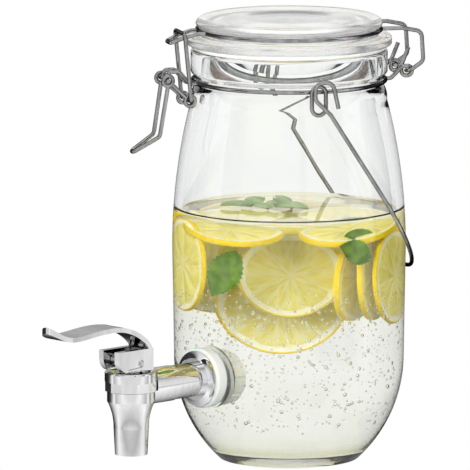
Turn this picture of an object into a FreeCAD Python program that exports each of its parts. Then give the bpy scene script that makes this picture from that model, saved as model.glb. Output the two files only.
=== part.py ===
import FreeCAD, Part
import math
import os
import Sketcher
from FreeCAD import Placement, Rotation, Vector

# Glass drink dispenser: a swing-clip jar with a wire carry handle and a lever tap.
# Millimetres. The origin is the centre of the base, +Z is up and the tap points to -Y.
# The wire closure (clip, hinge and handle ears) is drawn with its clip towards -Y and
# its hinge towards +Y, then turned about the jar's axis by closure_turn.

SIZES = {
    # glass jar
    "contact_inner": 36.0,
    "contact_outer": 42.0,
    "punt_depth": 2.6,
    "base_thickness": 8.0,
    "jar_wall": 4.2,
    "foot_inset": 1.1,
    "foot_height": 60.0,
    "heel_curve": 85.0,
    "belly_radius": 70.1,
    "belly_height": 128.0,
    "shoulder_curve": 350.0,
    "shoulder_radius": 58.7,
    "shoulder_drop": 30.5,
    "bead_curve": 14.0,
    "band_drop": 18.5,
    "band_radius": 57.7,
    "band_seat_half": 2.2,
    "rim_radius": 59.0,
    "rim_depth": 13.9,
    "rim_height": 247.5,
    "rim_round": 2.0,
    "mouth_radius": 52.4,
    "mouth_depth": 24.5,
    "shoulder_blend": 6.0,
    "shoulder_thickening": 1.5,
    # glass lid and its seal
    "gasket_thickness": 2.6,
    "gasket_inner": 48.9,
    "gasket_outer": 58.6,
    "gasket_bulge": 1.04,
    "lid_flange_radius": 61.5,
    "lid_flange_thickness": 5.6,
    "lid_neck_radius": 53.6,
    "lid_neck_height": 5.0,
    "lid_top_radius": 56.0,
    "lid_thickness": 16.2,
    "lid_edge_round": 3.4,
    "lid_dish_radius": 25.0,
    "lid_dish_depth": 1.6,
    "lid_ring_radius": 17.5,
    "lid_plug_top": 48.2,
    "lid_plug_bottom": 45.4,
    "lid_plug_depth": 5.9,
    "lid_plug_wall": 4.5,
    "lid_flange_round": 2.0,
    "lid_ring_rise": 0.7,
    "lid_ring_half": 2.0,
    "lid_bevel": 1.2,
    "lid_crown": 8.5,
    # closure wires
    "closure_turn": -26.5,
    "wire_radius": 1.25,
    "wire_bend": 3.0,
    "clip_bend": 2.6,
    "lever_bend": 4.0,
    "link_bend": 2.2,
    "hinge_arm_bend": 4.2,
    "wire_gap": 0.3,
    "wire_seat_gap": 0.15,
    "ear_gap": 0.8,
    "coil_gap": 0.1,
    "eye_play": 0.5,
    "hinge_out": 11.0,
    "hinge_rise": 4.0,
    "hinge_eye_x": 13.0,
    "hinge_arm_out": 8.0,
    "hinge_tail": 14.0,
    "hinge_tail_lean": 1.6,
    "hinge_root": 3.5,
    "hinge_arm_root": 13.0,
    "hinge_arm_sink": 2.5,
    "hinge_arm_bow": 1.2,
    "hinge_arm_knee": 6.0,
    "lid_wire_lift": 3.5,
    "nose_out": 7.0,
    "nose_drop": 2.9,
    "nose_flare": 4.4,
    "nose_taper": 1.0,
    "nose_root": 5.0,
    "nose_tip_half": 4.6,
    "pivot_out": 18.6,
    "pivot_rise": 3.0,
    "pivot_arch_rise": 5.0,
    "pivot_arch_back": 7.5,
    "pivot_arch_front": 1.0,
    "pivot_arch_root": 5.5,
    "stub_show": 1.4,
    "clip_arm_x": 4.8,
    "crank_drop": 12.6,
    "crank_back": 13.6,
    "lever_knee_drop": 33.5,
    "lever_knee_out": 4.9,
    "lever_knee_share": 0.86,
    "lever_tip_drop": 42.7,
    "lever_tip_out": 20.1,
    "lever_tip_half": 2.4,
    "bar_out": 6.5,
    "bar_rise": 0.5,
    # carry handle and its ears
    "ear_half_width": 4.3,
    "ear_post_share": 0.9,
    "ear_rise": 5.0,
    "ear_drop": 14.7,
    "handle_pivot_drop": 3.0,
    "handle_reach": 133.0,
    "handle_rest": 0.5,
    "handle_kink": 12.0,
    "hook_radius": 5.4,
    "hook_rise": 4.0,
    "hook_tail": 10.5,
    "hook_set_back": 3.0,
    "hook_foot": 1.0,
    "hook_spread": 3.5,
    # tap
    "tap_height": 56.0,
    "tap_bore": 8.5,
    "seat_step": 2.5,
    "seat_depth": 6.9,
    "shank_radius": 8.0,
    "shank_show": 3.1,
    "passage_radius": 5.0,
    "bore_gap": 0.15,
    "seat_margin": 1.0,
    "cut_margin": 4.0,
    "outer_washer_radius": 18.0,
    "outer_washer_thickness": 7.4,
    "outer_washer_round": 2.0,
    "flange_radius": 16.6,
    "flange_thickness": 3.0,
    "flange_edge": 1.0,
    "flange_foot": 2.4,
    "flange_dish_curve": 9.0,
    "inner_washer_radius": 16.4,
    "inner_washer_thickness": 2.6,
    "nut_radius": 15.8,
    "nut_thickness": 12.5,
    "nut_grip_radius": 1.6,
    "nut_grip_offset": 0.7,
    "nut_bevel": 1.5,
    "arm_radius": 10.2,
    "arm_step": 0.4,
    "arm_seam_back": 31.0,
    "barrel_out": 60.9,
    "barrel_radius": 14.3,
    "barrel_shoulder_drop": 1.0,
    "barrel_neck_radius": 12.6,
    "barrel_shoulder_fall": 6.0,
    "recess_gap": 0.4,
    "barrel_top_rise": 7.0,
    "waist_drop": 23.0,
    "waist_radius": 10.5,
    "waist_curve": 33.0,
    "nozzle_drop": 39.0,
    "nozzle_radius": 9.7,
    "nozzle_bore": 7.4,
    "chamber_radius": 9.6,
    "valve_seat_drop": 20.0,
    "collar_radius": 15.7,
    "collar_skirt": 7.6,
    "collar_lip_rise": 4.0,
    "collar_facet_height": 5.6,
    "collar_facet_margin": 0.1,
    "collar_lip": 11.6,
    "collar_edge": 1.0,
    "collar_flat": 0.6,
    "collar_dish": 1.4,
    "collar_dish_curve": 6.0,
    "bonnet_radius": 12.4,
    "bonnet_thickness": 2.2,
    "bonnet_boss_drop": 1.4,
    "bonnet_boss_wall": 1.2,
    "bonnet_seal_rise": 1.0,
    "bonnet_dome": 0.8,
    "stem_radius": 2.4,
    "stem_gap": 0.1,
    "stem_head_half": 4.5,
    "stem_head_radius": 3.4,
    "stem_head_sink": 0.6,
    "o_ring_section": 0.8,
    "seal_gap": 0.1,
    "o_ring_sink": 0.2,
    "plug_radius": 8.8,
    "plug_thickness": 5.0,
    "plug_lift": 0.3,
    "plug_bevel": 1.2,
    "plug_inset": 0.6,
    "stem_foot": 3.0,
    "stem_flange": 1.2,
    "stem_flange_inset": 1.6,
    "spring_radius": 5.4,
    "spring_wire": 0.55,
    "spring_turns": 5.0,
    "pin_radius": 1.4,
    "pin_gap": 0.06,
    "pin_hole_gap": 0.02,
    "pin_rise": 9.2,
    "pin_inset": 1.0,
    "pin_recess_depth": 1.0,
    "pin_recess_margin": 1.0,
    "pin_recess_length": 9.0,
    "pin_recess_fall": 0.6,
    # tap lever
    "cheek_half_width": 8.8,
    "cheek_thickness": 3.9,
    "cheek_front": 17.6,
    "lever_back": 10.0,
    "cheek_rise": 4.6,
    "cheek_height": 13.0,
    "cam_radius": 8.0,
    "blade_thickness": 2.8,
    "blade_half_width": 9.6,
    "blade_flare_out": 8.0,
    "blade_tip_round": 12.0,
    "blade_tip_share": 0.82,
    "arch_rise": 28.4,
    "arch_out": 22.0,
    "blade_sag": 2.0,
    "blade_dip_out": 50.0,
    "blade_tip_out": 67.0,
    "blade_tip_rise": 6.5,
}
SIDES = (-1, 1)
# share of a run that a bend may use where a wire is bent as tightly as it can be
TIGHT = 0.97
FACETS = 12
GRIPS = 10


class Size:
    """A length as a number together with the sheet expression that gives it."""

    def __init__(self, text, number):
        self.text = text
        self.number = number

    def __add__(self, other):
        return Size(f"({self.text} + {as_size(other).text})", self.number + as_size(other).number)

    def __sub__(self, other):
        return Size(f"({self.text} - {as_size(other).text})", self.number - as_size(other).number)

    def __mul__(self, other):
        return Size(f"({self.text} * {as_size(other).text})", self.number * as_size(other).number)

    def __truediv__(self, other):
        return Size(f"({self.text} / {as_size(other).text})", self.number / as_size(other).number)

    def __radd__(self, other):
        return as_size(other) + self

    def __rsub__(self, other):
        return as_size(other) - self

    def __rmul__(self, other):
        return as_size(other) * self

    def __neg__(self):
        return Size(f"(-{self.text})", -self.number)

    def __float__(self):
        return float(self.number)


def as_size(value):
    """A plain number is a size with itself as its expression."""
    return value if isinstance(value, Size) else Size(repr(float(value)), float(value))


doc = FreeCAD.newDocument("drink_dispenser")
sheet = doc.addObject("Spreadsheet::Sheet", "Sizes")
for row, (alias, value) in enumerate(SIZES.items(), 1):
    sheet.set(f"A{row}", alias)
    sheet.set(f"B{row}", str(value))
    sheet.setAlias(f"B{row}", alias)
doc.recompute()


class Sheet:
    """Reads a driving dimension by its alias, as in S.jar_wall."""

    def __getattr__(self, alias):
        return Size(f"Sizes.{alias}", float(sheet.get(alias)))


S = Sheet()

# Places that follow from the sizes, so that what fits together moves together.
EYE_RADIUS = 2.0 * S.wire_radius + S.eye_play
WIRE_PITCH = 2.0 * S.wire_radius + S.wire_gap
COIL_PITCH = 2.0 * S.wire_radius + S.coil_gap
BAND_HEIGHT = S.rim_height - S.band_drop
RIM_START = S.rim_height - S.rim_depth
SHOULDER_HEIGHT = S.rim_height - S.shoulder_drop
LID_UNDER = S.rim_height + S.wire_gap + S.gasket_thickness
LID_FLANGE_TOP = LID_UNDER + S.lid_flange_thickness
LID_TOP = LID_UNDER + S.lid_thickness
LID_WIRE_HEIGHT = LID_FLANGE_TOP + S.lid_wire_lift
HINGE_REACH = S.rim_radius + S.hinge_out
HINGE_HEIGHT = BAND_HEIGHT + S.hinge_rise
HINGE_ARM_REACH = HINGE_REACH + S.hinge_arm_out
PIVOT_REACH = S.rim_radius + S.pivot_out
PIVOT_HEIGHT = BAND_HEIGHT + S.pivot_rise
BAR_REACH = S.lid_flange_radius + S.bar_out
BAR_HEIGHT = LID_WIRE_HEIGHT + S.bar_rise
NOSE_REACH = BAR_REACH + S.nose_out
EAR_TOP = BAND_HEIGHT + S.ear_rise
EAR_BOTTOM = BAND_HEIGHT - S.ear_drop
HANDLE_PIVOT_HEIGHT = BAND_HEIGHT - S.handle_pivot_drop
EAR_PLANE = S.rim_radius + S.wire_radius + S.ear_gap
HINGE_ARM_X = S.hinge_eye_x + WIRE_PITCH
LEVER_PLANE = S.clip_arm_x + WIRE_PITCH
FOOT_RADIUS = S.belly_radius - S.foot_inset
SEAT_OUTER = S.belly_radius - S.seat_step
SEAT_INNER = SEAT_OUTER - S.seat_depth
BARREL_REACH = SEAT_OUTER + S.barrel_out
ARM_SEAM = BARREL_REACH - S.arm_seam_back
NUT_REACH = SEAT_INNER - S.inner_washer_thickness - S.nut_thickness
SHANK_END = NUT_REACH - S.shank_show
BARREL_SHOULDER = S.tap_height - S.barrel_shoulder_drop
BARREL_TOP = S.tap_height + S.barrel_top_rise
WAIST_HEIGHT = S.tap_height - S.waist_drop
NOZZLE_BOTTOM = S.tap_height - S.nozzle_drop
VALVE_SEAT_HEIGHT = S.tap_height - S.valve_seat_drop
COLLAR_BOTTOM = BARREL_TOP - S.collar_skirt
COLLAR_TOP = BARREL_TOP + S.collar_lip_rise
PIN_HEIGHT = BARREL_TOP + S.pin_rise
CHEEK_BOTTOM = BARREL_TOP + S.cheek_rise
ARCH_TOP = CHEEK_BOTTOM + S.arch_rise
BLADE_DIP = ARCH_TOP - S.blade_sag
BLADE_TIP_HEIGHT = BLADE_DIP + S.blade_tip_rise


def bind(thing, **sizes):
    """Tie properties of an object to sheet expressions."""
    for name, size in sizes.items():
        thing.setExpression(name, as_size(size).text)


def origin_plane(body, role):
    return next(f for f in body.Origin.OriginFeatures if f.Role == role)


def new_body(label):
    body = doc.addObject("PartDesign::Body", label)
    body.Label = label
    return body


def new_sketch(body, name, role="XZ_Plane"):
    sketch = body.newObject("Sketcher::SketchObject", name)
    sketch.AttachmentSupport = [(origin_plane(body, role), "")]
    sketch.MapMode = "FlatFace"
    return sketch


def arc_between(start, end, radius, side):
    """The short arc from start to end; side +1 bulges to the right of the way, -1 to the left."""
    chord = end - start
    half = chord.Length / 2
    radius = max(radius, half * 1.0001)
    normal = Vector(chord.y, -chord.x, 0).normalize() * side
    middle = (start + end) / 2 + normal * (radius - math.sqrt(radius * radius - half * half))
    return Part.Arc(start, middle, end)


def outline(sketch, corners):
    """A closed outline. Each corner is (x, y), or (x, y, radius, side) where an arc leads to it."""
    ends = [Vector(float(c[0]), float(c[1]), 0) for c in corners]
    edges = []
    for i, corner in enumerate(corners):
        start, end = ends[i - 1], ends[i]
        if len(corner) == 4:
            arc = arc_between(start, end, float(corner[2]), corner[3])
            edges.append(sketch.addGeometry(arc, False))
        else:
            edges.append(sketch.addGeometry(Part.LineSegment(start, end), False))
    tails = []
    for i, corner in enumerate(corners):
        # an arc always runs anticlockwise in a sketch, so its end is found by place
        near = (sketch.getPoint(edges[i], 2) - ends[i]).Length
        far = (sketch.getPoint(edges[i], 1) - ends[i]).Length
        tails.append(2 if near <= far else 1)
    for i, corner in enumerate(corners):
        following = (i + 1) % len(corners)
        head = 3 - tails[following]
        sketch.addConstraint(
            Sketcher.Constraint("Coincident", edges[i], tails[i], edges[following], head)
        )
        for axis, kind in ((0, "DistanceX"), (1, "DistanceY")):
            value = float(corner[axis])
            index = sketch.addConstraint(
                Sketcher.Constraint(kind, -1, 1, edges[i], tails[i], value)
            )
            if isinstance(corner[axis], Size):
                sketch.setExpression(f"Constraints[{index}]", corner[axis].text)
        if len(corner) == 4:
            index = sketch.addConstraint(
                Sketcher.Constraint("Radius", edges[i], float(corner[2]))
            )
            if isinstance(corner[2], Size):
                sketch.setExpression(f"Constraints[{index}]", corner[2].text)


def turned(label, corners, axis="V_Axis", role="XZ_Plane"):
    """A body whose outline is turned a full circle about its sketch's vertical axis."""
    body = new_body(label)
    sketch = new_sketch(body, label + "_outline", role)
    outline(sketch, corners)
    turn = body.newObject("PartDesign::Revolution", label + "_turn")
    turn.Profile = sketch
    turn.ReferenceAxis = (sketch, [axis])
    turn.Angle = 360
    return body


def along_tap(thing, reach):
    """Lay an object's +Z along the tap's axis, towards -Y, starting at a reach from the jar's axis."""
    thing.Placement = Placement(Vector(0, 0, 0), Rotation(Vector(1, 0, 0), 90))
    thing.setExpression("Placement.Base.y", f"-{as_size(reach).text}")
    thing.setExpression("Placement.Base.z", S.tap_height.text)
    return thing


def at_barrel(thing):
    """Stand an object on the vertical axis of the tap's barrel."""
    thing.Placement = Placement(Vector(0, 0, 0), Rotation())
    thing.setExpression("Placement.Base.y", f"-{BARREL_REACH.text}")
    return thing


def add_cylinder(body, name, radius, height, place, cut=False):
    """Add or cut a cylinder in a body; place sets where it stands."""
    kind = "PartDesign::SubtractiveCylinder" if cut else "PartDesign::AdditiveCylinder"
    cylinder = body.newObject(kind, name)
    bind(cylinder, Radius=radius, Height=height)
    place(cylinder)
    return cylinder


def turn_closure(thing):
    """Turn an object of the wire closure to its place round the jar."""
    thing.Placement = Placement(Vector(0, 0, 0), Rotation(Vector(0, 0, 1), float(S.closure_turn)))
    return thing


def rounded_path(points, bend):
    """Straight runs joined by tangent arcs of the bend radius, or less where a run is short."""
    cuts = []
    for i in range(1, len(points) - 1):
        back = points[i - 1] - points[i]
        ahead = points[i + 1] - points[i]
        half_turn = (math.pi - back.getAngle(ahead)) / 2
        room = min(
            back.Length * (0.98 if i == 1 else 0.48),
            ahead.Length * (0.98 if i == len(points) - 2 else 0.48),
        )
        cuts.append(min(bend * math.tan(half_turn), room))
    edges = []
    here = points[0]
    for i, cut in enumerate(cuts, 1):
        corner = points[i]
        back = (points[i - 1] - corner).normalize()
        ahead = (points[i + 1] - corner).normalize()
        half_turn = (math.pi - back.getAngle(ahead)) / 2
        start, end = corner + back * cut, corner + ahead * cut
        radius = cut / math.tan(half_turn)
        inward = (back + ahead).normalize()
        middle = corner + inward * (radius / math.cos(half_turn) - radius)
        edges.append(Part.LineSegment(here, start).toShape())
        edges.append(Part.Arc(start, middle, end).toShape())
        here = end
    edges.append(Part.LineSegment(here, points[-1]).toShape())
    return Part.Wire(edges)


def wire_along(points, bend=None):
    """Round wire bent along a path."""
    radius = float(S.wire_radius)
    path = rounded_path(points, float(S.wire_bend if bend is None else bend))
    across = Part.Wire(Part.Circle(points[0], points[1] - points[0], radius).toShape())
    solid = path.makePipeShell([across], True, True)
    return solid if solid.Volume > 0 else solid.reversed()


def wire_ring(centre, normal, radius):
    """A closed ring of the closure wire."""
    return Part.makeTorus(radius, float(S.wire_radius), centre, normal)


def fused(shapes):
    """One solid from overlapping wires."""
    solid = shapes[0].fuse(shapes[1:]).removeSplitter()
    return solid.Solids[0] if len(solid.Solids) == 1 else solid


def shaped(label, shape):
    """A sub-part whose form is a bent wire or a moulding with no flat profile."""
    thing = doc.addObject("Part::Feature", label)
    thing.Label = label
    thing.Shape = shape
    return thing
def glass_jar():
    """Blown glass jar: punted base, round heel, bellied side, wire groove and ground lip."""
    groove = S.band_radius - S.wire_radius - S.wire_seat_gap
    inner_foot = FOOT_RADIUS - S.jar_wall
    inner_belly = S.belly_radius - S.jar_wall
    inner_shoulder = S.shoulder_radius - S.jar_wall - S.shoulder_thickening
    corners = [
        (0.0, S.punt_depth),
        (S.contact_inner, 0.0),
        (S.contact_outer, 0.0),
        (FOOT_RADIUS, S.foot_height, S.heel_curve, 1),
        (S.belly_radius, S.belly_height),
        (S.shoulder_radius, SHOULDER_HEIGHT, S.shoulder_curve, 1),
        (groove, BAND_HEIGHT - S.band_seat_half, S.bead_curve, 1),
        (groove, BAND_HEIGHT + S.band_seat_half),
        (S.rim_radius, RIM_START),
        (S.rim_radius, S.rim_height - S.rim_round),
        (S.rim_radius - S.rim_round, S.rim_height, S.rim_round, 1),
        (S.mouth_radius + S.rim_round, S.rim_height),
        (S.mouth_radius, S.rim_height - S.rim_round, S.rim_round, 1),
        (S.mouth_radius, S.rim_height - S.mouth_depth),
        (inner_shoulder, SHOULDER_HEIGHT - S.shoulder_blend),
        (inner_belly, S.belly_height, S.shoulder_curve, -1),
        (inner_foot, S.foot_height),
        (S.contact_outer, S.base_thickness, S.heel_curve - S.jar_wall, -1),
        (0.0, S.base_thickness + S.punt_depth),
    ]
    body = turned("glass_jar", corners)
    seat_radius = S.outer_washer_radius + S.seat_margin
    add_cylinder(
        body,
        "tap_seat",
        seat_radius,
        S.seat_depth,
        lambda c: along_tap(c, SEAT_INNER),
    )
    add_cylinder(
        body,
        "tap_spot_face",
        seat_radius,
        S.seat_step + S.cut_margin,
        lambda c: along_tap(c, SEAT_OUTER),
        cut=True,
    )
    add_cylinder(
        body,
        "tap_bore_cut",
        S.tap_bore,
        S.seat_depth + S.seat_step + 2.0 * S.cut_margin,
        lambda c: along_tap(c, SEAT_INNER - S.cut_margin),
        cut=True,
    )
    return body


def lid_glass():
    """Pressed glass lid: dished top with a ring, wire groove, flange and tapered plug."""
    dish = LID_TOP - S.lid_dish_depth
    crown = LID_TOP - S.lid_crown
    plug_end = LID_UNDER - S.lid_plug_depth
    plug_bore = S.lid_plug_bottom - S.lid_plug_wall
    bevel = S.lid_bevel
    corners = [
        (0.0, dish),
        (0.0, crown),
        (plug_bore, crown),
        (plug_bore, plug_end),
        (S.lid_plug_bottom, plug_end),
        (S.lid_plug_top, LID_UNDER),
        (S.lid_flange_radius - bevel, LID_UNDER),
        (S.lid_flange_radius, LID_UNDER + bevel, bevel, 1),
        (S.lid_flange_radius, LID_FLANGE_TOP - S.lid_flange_round),
        (S.lid_flange_radius - S.lid_flange_round, LID_FLANGE_TOP, S.lid_flange_round, 1),
        (S.lid_neck_radius, LID_FLANGE_TOP + S.wire_seat_gap),
        (S.lid_neck_radius, LID_FLANGE_TOP + S.lid_neck_height),
        (S.lid_top_radius, LID_TOP - S.lid_edge_round),
        (S.lid_top_radius - S.lid_edge_round, LID_TOP, S.lid_edge_round, 1),
        (S.lid_dish_radius + bevel, LID_TOP),
        (S.lid_dish_radius, dish),
        (S.lid_ring_radius + S.lid_ring_half, dish),
        (S.lid_ring_radius, dish + S.lid_ring_rise),
        (S.lid_ring_radius - S.lid_ring_half, dish),
    ]
    return turned("lid_glass", corners)


def lid_gasket():
    """Moulded silicone seal under the lid's flange, with a rounded outer edge."""
    low = S.rim_height + S.wire_gap
    half = S.gasket_thickness / 2.0
    corners = [
        (S.gasket_inner, low),
        (S.gasket_outer - half, low),
        (S.gasket_outer - half, LID_UNDER, half * S.gasket_bulge, 1),
        (S.gasket_inner, LID_UNDER),
    ]
    return turned("lid_gasket", corners)


def out(x, reach, height):
    """A point of the closure: x sideways, reach towards the clip, height above the base."""
    return Vector(float(x), -float(reach), float(height))


def on_ring(ring, aside):
    """Reach of the point of a ring that lies aside from the closure's middle plane."""
    return math.sqrt(float(ring) ** 2 - float(aside) ** 2)


def neck_band_wire():
    """Band in the neck groove, with clip arms and stubs, hinge eyes with tails, and two ears."""
    eye = float(EYE_RADIUS)
    shapes = [wire_ring(Vector(0, 0, float(BAND_HEIGHT)), Vector(0, 0, 1), float(S.band_radius))]
    pivot, level = float(PIVOT_REACH), float(PIVOT_HEIGHT)
    arch = level + float(S.pivot_arch_rise)
    stub_end = WIRE_PITCH + S.clip_arm_x + S.stub_show
    hinge, height = float(HINGE_REACH), float(HINGE_HEIGHT)
    for side in SIDES:
        arm = side * S.clip_arm_x
        start = on_ring(S.band_radius, arm)
        path = [
            out(arm, start, BAND_HEIGHT),
            out(arm, start + S.pivot_arch_root, BAND_HEIGHT),
            out(arm, pivot - S.pivot_arch_back, arch),
            out(arm, pivot - S.pivot_arch_front, arch),
            out(arm, pivot, level),
            out(side * stub_end, pivot, level),
        ]
        shapes.append(wire_along(path, S.clip_bend))
        start = on_ring(S.band_radius, S.hinge_eye_x)
        # each quarter of the coil steps sideways, so that its turns clear each other
        step = side * COIL_PITCH / 3.0
        aside = side * S.hinge_eye_x
        path = [
            out(aside, -start, BAND_HEIGHT),
            out(aside, -(start + S.hinge_root), BAND_HEIGHT),
            out(aside, -(hinge - eye), height + eye),
            out(aside, -(hinge + eye), height + eye),
            out(aside - step, -(hinge + eye), height - eye),
            out(aside - 2.0 * step, -(hinge - eye), height - eye),
            out(aside - 3.0 * step, -(hinge - eye), height + eye),
            out(aside - 3.0 * step, -(hinge + S.hinge_tail_lean), height + S.hinge_tail),
        ]
        shapes.append(wire_along(path, eye * TIGHT))
        shapes.extend(ear(side))
    return turn_closure(shaped("neck_band_wire", fused(shapes)))


def ear(side):
    """Oval ear that stands off the band on two short posts, for the carry handle's hook."""
    radius = float(S.wire_radius)
    plane = side * float(EAR_PLANE)
    half = float(S.ear_half_width)
    top, bottom = float(EAR_TOP) - radius, float(EAR_BOTTOM) + radius
    high, deep = top - half, bottom + half
    corners = [Vector(plane, y, z) for y, z in ((-half, deep), (-half, high), (half, high), (half, deep))]
    oval = Part.Wire(
        [
            Part.LineSegment(corners[0], corners[1]).toShape(),
            Part.Arc(corners[1], Vector(plane, 0, top), corners[2]).toShape(),
            Part.LineSegment(corners[2], corners[3]).toShape(),
            Part.Arc(corners[3], Vector(plane, 0, bottom), corners[0]).toShape(),
        ]
    )
    across = Part.Wire(Part.Circle(corners[0], Vector(0, 0, 1), radius).toShape())
    post_radius = float(S.ear_post_share) * radius
    start = side * (float(S.band_radius) - post_radius)
    loops = [oval.makePipeShell([across], True, True)]
    for y in (-half, half):
        foot = Vector(start, y, float(BAND_HEIGHT))
        loops.append(Part.makeCylinder(post_radius, abs(plane - start), foot, Vector(side, 0, 0)))
    return loops


def lid_band_wire():
    """Wire in the lid's groove with a nose under the clip's bar and two hinge arms."""
    ring = S.lid_neck_radius + S.wire_radius + S.wire_seat_gap
    shapes = [wire_ring(Vector(0, 0, float(LID_WIRE_HEIGHT)), Vector(0, 0, 1), float(ring))]
    tip = S.nose_tip_half
    root = tip + S.nose_flare
    start = on_ring(ring, root)
    trough = BAR_HEIGHT - WIRE_PITCH
    half_nose = [
        (root, start, LID_WIRE_HEIGHT),
        (root - S.nose_taper, start + S.nose_root, LID_WIRE_HEIGHT),
        (tip + 2.0 * S.nose_taper, BAR_REACH, trough),
        (tip, NOSE_REACH, trough - S.nose_drop),
    ]
    nose = [out(-x, reach, height) for x, reach, height in half_nose]
    nose += [out(x, reach, height) for x, reach, height in reversed(half_nose)]
    shapes.append(wire_along(nose, S.clip_bend))
    arm = HINGE_ARM_X
    start = on_ring(ring, arm)
    for side in SIDES:
        aside = side * arm
        path = [
            out(aside, -start, LID_WIRE_HEIGHT),
            out(aside, -(start + S.hinge_arm_root), LID_WIRE_HEIGHT),
            out(aside, -HINGE_ARM_REACH, LID_WIRE_HEIGHT - S.hinge_arm_sink),
            out(aside, -(HINGE_ARM_REACH + S.hinge_arm_bow), HINGE_HEIGHT + S.hinge_arm_knee),
            out(aside, -HINGE_REACH, HINGE_HEIGHT),
            out(side * (S.hinge_eye_x - 2.0 * S.wire_radius), -HINGE_REACH, HINGE_HEIGHT),
        ]
        shapes.append(wire_along(path, S.hinge_arm_bend))
    return turn_closure(shaped("lid_band_wire", fused(shapes)))


def crank_centre():
    """Reach and height of the eye that the link hangs in."""
    return PIVOT_REACH - S.crank_back, PIVOT_HEIGHT - S.crank_drop


def clip_lever_wire():
    """U-shaped lever: two legs that close to a tip, with pivot eyes, cranks and crank eyes."""
    eye = float(EYE_RADIUS)
    crank_reach, crank_height = crank_centre()
    knee_plane = LEVER_PLANE * S.lever_knee_share
    knee = (PIVOT_REACH + S.lever_knee_out, PIVOT_HEIGHT - S.lever_knee_drop)
    tip = (PIVOT_REACH + S.lever_tip_out, PIVOT_HEIGHT - S.lever_tip_drop)
    shapes = []
    tops = []
    for side in SIDES:
        centre = out(side * LEVER_PLANE, PIVOT_REACH, PIVOT_HEIGHT)
        crank = out(side * LEVER_PLANE, crank_reach, crank_height)
        shapes.append(wire_ring(centre, Vector(1, 0, 0), eye))
        shapes.append(wire_ring(crank, Vector(1, 0, 0), eye))
        along = (crank - centre).normalize()
        shapes.append(wire_along([centre + along * eye, crank - along * eye]))
        tops.append(centre + Vector(0, 0, -eye))
    handle = [
        tops[0],
        out(-knee_plane, *knee),
        out(-S.lever_tip_half, *tip),
        out(S.lever_tip_half, *tip),
        out(knee_plane, *knee),
        tops[1],
    ]
    shapes.append(wire_along(handle, S.lever_bend))
    return turn_closure(shaped("clip_lever_wire", fused(shapes)))


def clip_link_wire():
    """Link: a bar over the lid's nose, two legs, and feet turned in through the crank eyes."""
    plane = LEVER_PLANE + WIRE_PITCH
    foot = LEVER_PLANE - S.wire_radius
    reach, height = crank_centre()
    path = [
        out(-foot, reach, height),
        out(-plane, reach, height),
        out(-plane, BAR_REACH, BAR_HEIGHT),
        out(plane, BAR_REACH, BAR_HEIGHT),
        out(plane, reach, height),
        out(foot, reach, height),
    ]
    return turn_closure(shaped("clip_link_wire", wire_along(path, S.link_bend)))


def carry_handle_wire():
    """Bail handle: straight legs, a round bow, and a hooked end with a short tail at each ear."""
    plane = float(EAR_PLANE + WIRE_PITCH)
    pivot = float(HANDLE_PIVOT_HEIGHT)
    length = float(S.handle_reach)
    # the bow hangs against the belly of the jar, so its lean follows from both
    lean = math.asin(float(S.belly_radius + S.wire_radius + S.handle_rest) / length)
    down = Vector(0, math.sin(lean), -math.cos(lean))
    back = float(S.hook_set_back)
    front = 2.0 * float(S.hook_radius) - back
    top = float(S.hook_rise + S.hook_radius)
    low = float(S.hook_rise - S.hook_tail)
    ends = []
    for side in SIDES:
        base = Vector(side * plane, 0, pivot)
        ends.append(
            [
                base + Vector(0, front + float(S.hook_spread), low),
                base + Vector(0, front, top),
                base + Vector(0, -back, top),
                base + Vector(0, -back, -float(S.hook_foot)),
                base + down * float(S.handle_kink),
            ]
        )
    shoulder = [Vector(side * plane, 0, pivot) + down * (length - plane) for side in SIDES]
    crown = Vector(0, 0, pivot) + down * length
    bend = float(S.hook_radius) * TIGHT
    left = rounded_path(ends[0] + [shoulder[0]], bend).Edges
    right = rounded_path(ends[1] + [shoulder[1]], bend).Edges
    bow = Part.Arc(shoulder[0], crown, shoulder[1]).toShape()
    path = Part.Wire(Part.__sortEdges__(left + [bow] + right))
    start, onward = ends[0][0], ends[0][1] - ends[0][0]
    across = Part.Wire(Part.Circle(start, onward, float(S.wire_radius)).toShape())
    solid = path.makePipeShell([across], True, True)
    return turn_closure(shaped("carry_handle_wire", solid))




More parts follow.
